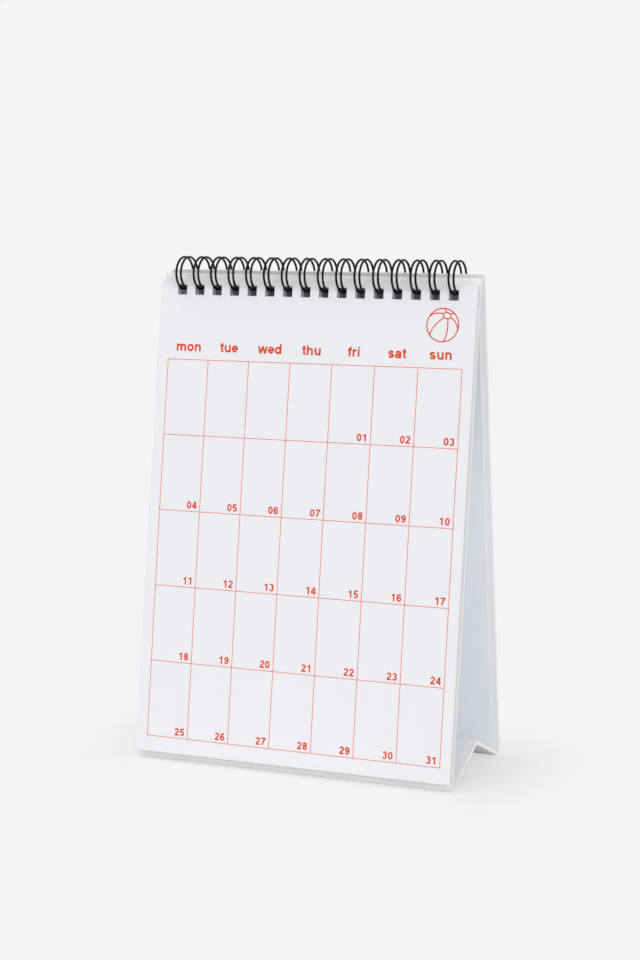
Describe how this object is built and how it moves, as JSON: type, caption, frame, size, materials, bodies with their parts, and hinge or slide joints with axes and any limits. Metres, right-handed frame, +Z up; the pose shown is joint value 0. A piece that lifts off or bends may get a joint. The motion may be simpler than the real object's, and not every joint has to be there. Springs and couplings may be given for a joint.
{
  "type": "desk calendar",
  "caption": "Free-standing easel desk calendar: portrait leaves on a black twin-loop wire over a folded, paper-covered board stand with a ridged base.",
  "frame": {"origin": "on the standing plane, under the middle of the object's bounding box", "axes": "+Z up, +Y to the back, +X to the reader's right along the binding; the leaves face -Y"},
  "size_m": [0.148, 0.0696, 0.2216],
  "materials": {
    "greyboard": "matte grey board",
    "covering_paper": "smooth white covering paper",
    "lining_paper": "smooth white lining paper",
    "leaf_paper": "uncoated white printing paper",
    "black_wire": "black nylon-coated steel wire"
  },
  "bodies": {
    "stand": {"front_board": "greyboard", "back_board": "greyboard", "base_front_board": "greyboard", "base_rear_board": "greyboard", "outer_wrap": "covering_paper", "inner_liner": "lining_paper", "binding_wire": "black_wire"},
    "leaves": {"leaf_block": "leaf_paper"}
  },
  "joints": [
    {"name": "leaf_turn", "type": "hinge", "parent": "stand", "child": "leaves", "pos_m": [0, -0.00043, 0.21418], "axis": [-1, 0, 0], "range_deg": [0, 208]}
  ]
}
